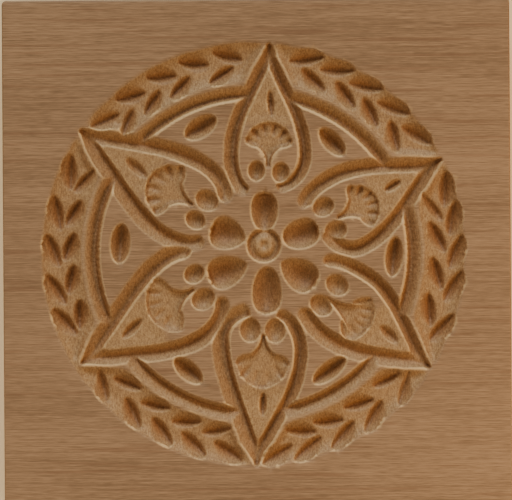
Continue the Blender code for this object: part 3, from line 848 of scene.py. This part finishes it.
def all_cuts(face):
    """Every cut's surface in one mesh."""
    sweep, gouge = sweep_tree(), gouge_tree()
    done = []

    def run(tree, name, mesh, tool, **sizes):
        """Runs a tree with a tool's sizes; its strips run on along the face for the steps past each lip."""
        thing = working_object(name, mesh)
        shape = tool._asdict()
        steps, past = shape.pop("steps"), shape.pop("past")
        done.append(tree.run(thing, apron=past / steps, points_across=2 * (steps + past) + 1,
                             **shape, **sizes))
        bpy.data.objects.remove(thing)

    def swept(lines, tool):
        run(sweep, "line", line_mesh(lines), tool, face_height=face, seed=SEED)

    def gouged(gouges, tool):
        run(gouge, "point", gouge_mesh(gouges, face), tool)

    ordered = sorted(PETALS, key=lambda petal: petal.bearing)
    rights = [limb_cut(petal, 1) for petal in ordered]
    lefts = [limb_cut(petal, -1) for petal in ordered]
    swept(v_cuts(rights, lefts), V_TOOL)
    swept([fan_cut(petal) for petal in PETALS], FAN_TOOL)
    swept([dish_cut(petal) for petal in PETALS], DISH_TOOL)
    swept([arc_cut(0, 360, COVE_RADIUS, COVE_INNER_BANK, COVE_OUTER_BANK, COVE_DEPTH, COVE_INNER_FLARE,
                   COVE_OUTER_FLARE)], COVE_TOOL)
    # The wreath's hollow rises to the face at each petal
    share_at = bay_shares([(cut, cut.left) for cut in rights] + [(cut, cut.right) for cut in lefts])
    for vert in done[-1].vertices:
        vert.co.z = face - (face - vert.co.z) * share_at(vert.co.to_2d())
    gouged(scoop_gouges(BLUNT_BOWLS, BOWL_DEPTH), BLUNT_BOWL_TOOL)
    gouged(scoop_gouges(POINTED_BOWLS, BOWL_DEPTH), POINTED_BOWL_TOOL)
    gouged(pearl_gouges(), PEARL_TOOL)
    gouged(scoop_gouges(SEEDS, SEED_DEPTH), SEED_TOOL)
    gouged(bud_gouges(), BUD_TOOL)
    gouged(rib_gouges([petal for petal in PETALS if petal.bearing < 180], RIB_DEPTH), RIB_TOOL)
    gouged(rib_gouges([petal for petal in PETALS if petal.bearing > 180], LOW_RIB_DEPTH), LOW_RIB_TOOL)
    gouged(boss_gouges(), BOSS_TOOL)
    gouged(leaf_gouges(share_at), LEAF_TOOL)
    joined = bmesh.new()
    for mesh in done:
        joined.from_mesh(mesh)
    whole = bpy.data.meshes.new("all_cuts")
    joined.to_mesh(whole)
    joined.free()
    return whole


def offset_rows(low, high, gap):
    """Places a gap apart on a square from low to high, in rows that lie half a gap across each other."""
    for k, y in enumerate(np.arange(low, high, gap * ROW_GAP)):
        for x in np.arange(low + (k % 2) * gap / 2, high, gap):
            yield x, y


def thinned(wanted, carved_end):
    """The places without those too close to an earlier one; from carved_end on, they keep off further."""
    tree = KDTree(len(wanted))
    for i, (x, y) in enumerate(wanted):
        tree.insert((x, y, 0), i)
    tree.balance()
    dropped = np.zeros(len(wanted), dtype=bool)
    for i, (x, y) in enumerate(wanted):
        if dropped[i]:
            continue
        for _, j, gap in tree.find_range((x, y, 0), CLOSEST_FLAT):
            if j > i and (gap < CLOSEST or j >= carved_end):
                dropped[j] = True
    return [spot for spot, gone in zip(wanted, dropped) if not gone]


def face_points(cuts, half, face):
    """Places for the face's mesh: on the cuts where they show, close in the hollows, wide on the flats."""
    surface = BVHTree.FromPolygons([v.co for v in cuts.vertices], [p.vertices for p in cuts.polygons])
    up = Vector((0, 0, 1))
    shifts = [(0.0, 0.0)] + all_round(LIP_BORDER)

    def floor(x, y):
        hit = surface.ray_cast(Vector((x, y, 0)), up)[0]
        return face if hit is None else min(face, hit.z)

    def near_cut(x, y):
        return any(floor(x + dx, y + dy) < face - FACE_MARGIN for dx, dy in shifts)

    wanted = [(x, y) for x, y, z in (v.co for v in cuts.vertices)
              if abs(floor(x, y) - min(z, face)) < CUT_MARGIN]
    reach = COVE_RADIUS + COVE_OUTER_BANK + PAST_WREATH
    for x, y in offset_rows(-reach, reach, CARVED_GAP):
        spot = (x + WREATH_CENTRE[0], y + WREATH_CENTRE[1])
        if hypot(x, y) < reach and near_cut(*spot):
            wanted.append(spot)
    carved_end = len(wanted)
    wanted += offset_rows(-half + FLAT_GAP, half - FLAT_GAP / 2, FLAT_GAP)
    return thinned(wanted, carved_end)


def rim_loop(half):
    """Places and outward directions round the flat face's edge, with small round corners."""
    run = half - CORNER_ROUND
    count = round(2 * run / RIM_GAP)
    loop = []
    for quarter in range(4):
        turn = Matrix.Rotation(quarter * pi / 2, 2)
        for i in range(count):
            loop.append((turn @ Vector((half, -run + 2 * run * i / count)), turn @ Vector((1, 0))))
        for i in range(CORNER_STEPS):
            angle = pi / 2 * i / CORNER_STEPS
            way = Vector((cos(angle), sin(angle)))
            loop.append((turn @ (Vector((run, run)) + way * CORNER_ROUND), turn @ way))
    return loop


def flat_board(cuts, low, high):
    """The board before it is carved: a face of many small triangles, eased edges, sides and underside."""
    face = high.z
    half = high.x - EDGE_ROUND
    loop = rim_loop(half)
    inside = face_points(cuts, half, face)
    points = [Vector(p) for p, way in loop] + [Vector(p) for p in inside]
    border = list(range(len(loop)))
    spots, _, faces, *_ = delaunay_2d_cdt(points, [], [border], WITHIN_BORDER, MERGE_GAP)
    mesh = bmesh.new()
    top = [mesh.verts.new((p.x, p.y, face)) for p in spots]
    for corner in faces:
        mesh.faces.new([top[i] for i in corner])
    rings = [top[:len(loop)]]
    bend = [pi / 2 * (i + 1) / EDGE_STEPS for i in range(EDGE_STEPS)]
    steps = [(EDGE_ROUND * sin(a), face - EDGE_ROUND * (1 - cos(a))) for a in bend]
    steps += [(EDGE_ROUND, face - EDGE_ROUND - (face - 2 * EDGE_ROUND) * i / WALL_STEPS)
              for i in range(1, WALL_STEPS + 1)]
    steps += [(EDGE_ROUND * cos(a), low.z + EDGE_ROUND * (1 - sin(a))) for a in bend]
    for out, height in steps:
        rings.append([mesh.verts.new((p.x + way.x * out, p.y + way.y * out, height)) for p, way in loop])
    for upper, lower in zip(rings, rings[1:]):
        for i in range(len(loop)):
            k = (i + 1) % len(loop)
            mesh.faces.new((upper[i], lower[i], lower[k], upper[k]))
    mesh.faces.new(rings[-1])
    bmesh.ops.recalc_face_normals(mesh, faces=mesh.faces)
    bmesh.ops.triangulate(mesh, faces=[f for f in mesh.faces if len(f.verts) > 4])
    data = bpy.data.meshes.new("flat_board")
    mesh.to_mesh(data)
    mesh.free()
    return data


def carved_board(wood):
    """The board as it is seen, in place of the block from the CAD model."""
    low, high = (Vector(corner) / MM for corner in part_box("mould_board"))
    cuts = working_object("cuts", all_cuts(high.z))
    blank = working_object("blank", flat_board(cuts.data, low, high))
    mesh = carve_tree().run(blank, cuts=cuts, face_height=high.z, lip_easing=LIP_EASING, ripple=RIPPLE,
                            ripple_size=RIPPLE_SIZE, seed=SEED, material=wood)
    mesh.transform(Matrix.Scale(MM, 4))
    bpy.data.objects.remove(cuts)
    bpy.data.objects.remove(blank)
    board = working_object("carved_board", mesh)
    board.data.name = "carved_board"
    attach(board, "root")
    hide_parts("mould_board")
    return board


# Wood

def carved_wood():
    """Fine-grained fruit wood, its grain along x: smooth where planed, fibrous and darker where cut, with
    painted shade in the hollows and creases and a painted highlight on lips that face the light.
    """
    material = bpy.data.materials.new("carved_wood")
    material.use_nodes = True
    tree = material.node_tree
    shader = tree.nodes["Principled BSDF"]
    n = Nodes(tree)
    place = n.add("ShaderNodeTexCoord").outputs["Object"]

    def grain(scale, detail, roughness, shift):
        """Noise whose scale is in features a millimetre along x, y and z; shift tells layers apart."""
        spot = n.add("ShaderNodeMapping", {"Vector": place, "Location": (shift, shift * 0.7, shift * 1.3),
                                           "Scale": [share / MM for share in scale]})
        return n.add("ShaderNodeTexNoise", {"Vector": spot, "Scale": 1.0, "Detail": detail,
                                            "Roughness": roughness}, noise_dimensions="3D").outputs[0]

    def between(value, low, high):
        """0 up to low, 1 from high on and smooth in between; high may be the lower number."""
        return n.add("ShaderNodeMapRange", {"Value": value, "From Min": low, "From Max": high},
                     interpolation_type="SMOOTHSTEP").outputs[0]

    def mix(factor, a, b, blend="MIX"):
        node = n.add("ShaderNodeMix", {"Factor": factor, "A": a, "B": b}, data_type="RGBA",
                     blend_type=blend)
        return next(out for out in node.outputs if out.enabled)

    cut = n.add("ShaderNodeAttribute", attribute_name="cut").outputs["Fac"]
    crest = n.add("ShaderNodeAttribute", attribute_name="crest").outputs["Fac"]
    normal = n.split(n.add("ShaderNodeTexCoord").outputs["Normal"])
    end_grain = between(n.math("ABSOLUTE", normal[0]), 0.25, 0.85)
    carved = between(cut, 0.03, 0.25)
    # Painted shade: deep and deepest darken and warm the wood as the cut goes deeper, standing in for shade
    # and bounce light in the hollows
    deep = between(cut, 0.5, 2.2)
    deepest = between(cut, 1.4, 2.4)
    # steep darkens the hollows' steep walls: partly darker cross-grain cut walls, partly painted shade
    steep = n.math("MULTIPLY", between(normal[2], 0.94, 0.66), carved)
    # Painted shade in the creases at the bottom of the grooves, where the crest value is negative
    crease_shade = between(n.math("MULTIPLY", crest, -1.0), 0.03, 0.26)
    # Lips are paler: partly worn edges, and partly a painted highlight, strongest on lips that face +Y,
    # towards the window light, and somewhat on those that face +X, towards the warm lamp
    faces_light = n.math("MULTIPLY_ADD", normal[1], 1.1, 0.55)
    faces_light = n.math("ADD", n.math("MULTIPLY", normal[0], 0.5), faces_light)
    faces_light = n.math("MINIMUM", n.math("MAXIMUM", faces_light, 0.0), 1.0)
    near_face = n.math("SUBTRACT", 1.0, between(cut, 0.3, 1.4))
    rim = n.math("MULTIPLY", between(crest, 0.03, 0.15), near_face)
    rim = n.math("MULTIPLY", rim, faces_light)

    streaks = grain((0.08, 4.4, 4.4), 3.0, 0.68, 0.0)
    hairs = grain((0.35, 9.5, 9.5), 2.0, 0.6, 3.1)
    bands = grain((0.010, 0.13, 0.13), 3.0, 0.55, 7.7)
    lines = between(grain((0.035, 1.1, 1.1), 2.0, 0.5, 12.3), 0.57, 0.68)
    torn = grain((3.6, 1.3, 1.3), 2.0, 0.65, 5.9)
    stipple = grain((3.2, 3.2, 3.2), 2.0, 0.7, 9.4)
    fuzz = n.math("MULTIPLY_ADD", torn, 0.55, n.math("MULTIPLY", stipple, 0.45))
    tone = n.math("ADD", n.math("SUBTRACT", hairs, 0.5), streaks)
    tone = n.math("MULTIPLY_ADD", n.math("SUBTRACT", bands, 0.5), 0.45, tone)
    face = mix(between(tone, 0.2, 0.8), FACE_DARK, FACE_PALE)
    face = mix(n.math("MULTIPLY", lines, 0.4), face, LINE_BROWN)
    cut_wood = mix(between(fuzz, 0.30, 0.70), CUT_DARK, CUT_PALE)
    colour = mix(carved, face, cut_wood)
    # Multiplied tints: darker end grain, then painted shade by depth, on steep walls and in the creases
    tints = ((end_grain, 0.55, END_GRAIN_TINT), (deep, 0.52, DEEP_SHADE_TINT), (steep, 0.22, STEEP_TINT),
             (deepest, 0.32, DEEPEST_SHADE_TINT), (crease_shade, 0.62, CREASE_SHADE_TINT))
    for where, strength, tint in tints:
        colour = mix(n.math("MULTIPLY", where, strength), colour, tint, "MULTIPLY")
    # Pale lips: worn edges, with a painted highlight on those that face the light
    colour = mix(n.math("MULTIPLY", rim, 0.9), colour, LIP_PALE)
    tree.links.new(colour, shader.inputs["Base Color"])
    shader.inputs["Roughness"].default_value = 0.6
    shader.inputs["Specular IOR Level"].default_value = 0.3

    uncarved = n.math("SUBTRACT", 1.0, carved)
    face_height = n.math("MULTIPLY_ADD", streaks, 0.5, n.math("MULTIPLY", hairs, 0.5))
    face_relief = n.math("MULTIPLY", n.math("MULTIPLY", face_height, 0.020), uncarved)
    fuzz_relief = n.math("MULTIPLY", n.math("MULTIPLY", fuzz, 0.16), carved)
    height = n.math("ADD", face_relief, fuzz_relief)
    bump = n.add("ShaderNodeBump", {"Height": height, "Strength": 1.0, "Distance": MM})
    tree.links.new(bump.outputs["Normal"], shader.inputs["Normal"])
    return material


# Studio

def camera(face):
    """A camera straight over the board, that frames it as the photo does."""
    data = bpy.data.cameras.new("camera")
    data.sensor_width = 36.0
    data.lens = data.sensor_width * (CAMERA_HEIGHT - face) / VIEW_WIDTH
    thing = bpy.data.objects.new("camera", data)
    thing.location = (VIEW_CENTRE[0] * MM, VIEW_CENTRE[1] * MM, CAMERA_HEIGHT * MM)
    thing.rotation_euler = (0, 0, -radians(BOARD_TURN))
    bpy.context.scene.collection.objects.link(thing)
    bpy.context.scene.camera = thing


def sun(name, azimuth, elevation, strength, colour, spread):
    """Light from far off, its direction and spread in degrees."""
    data = bpy.data.lights.new(name, "SUN")
    data.energy = strength
    data.color = colour
    data.angle = radians(spread)
    thing = bpy.data.objects.new(name, data)
    a, e = radians(azimuth), radians(elevation)
    way = Vector((cos(e) * cos(a), cos(e) * sin(a), sin(e)))
    thing.rotation_euler = way.to_track_quat("Z", "Y").to_euler()
    bpy.context.scene.collection.objects.link(thing)


def floor():
    """A plain pale floor just under the board."""
    mesh = bmesh.new()
    bmesh.ops.create_grid(mesh, x_segments=1, y_segments=1, size=FLOOR_HALF * MM)
    data = bpy.data.meshes.new("floor")
    mesh.to_mesh(data)
    mesh.free()
    plane = working_object("floor", data)
    plane.location.z = -FLOOR_DROP * MM
    paint = bpy.data.materials.new("floor_paint")
    paint.use_nodes = True
    shader = paint.node_tree.nodes["Principled BSDF"]
    shader.inputs["Base Color"].default_value = (0.98, 0.77, 0.45, 1.0)
    shader.inputs["Roughness"].default_value = 0.9
    plane.data.materials.append(paint)


def lamp(place, size, power, colour):
    """A square soft light at a place in millimetres, turned to the board."""
    data = bpy.data.lights.new("lamp", "AREA")
    data.size = size * MM
    data.energy = power
    data.color = colour
    thing = bpy.data.objects.new("lamp", data)
    thing.location = Vector(place) * MM
    thing.rotation_euler = Vector(place).to_track_quat("Z", "Y").to_euler()
    bpy.context.scene.collection.objects.link(thing)


def studio(face):
    """The camera, the floor and soft light: a cool window at the top and warm lamps lower down."""
    camera(face)
    floor()
    sun("window", azimuth=92, elevation=30, strength=2.68, colour=(0.96, 1.02, 1.09), spread=26)
    lamp((210, -80, 150), size=160, power=0.48, colour=(1.0, 0.60, 0.26))
    lamp((-190, -90, 120), size=200, power=0.17, colour=(1.0, 0.66, 0.36))
    world = bpy.data.worlds.new("room")
    bpy.context.scene.world = world
    world.use_nodes = True
    sky = world.node_tree.nodes["Background"]
    sky.inputs["Color"].default_value = (1.0, 0.92, 0.82, 1.0)
    sky.inputs["Strength"].default_value = 0.31


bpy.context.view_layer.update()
carved_board(carved_wood())
studio(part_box("mould_board")[1][2] / MM)
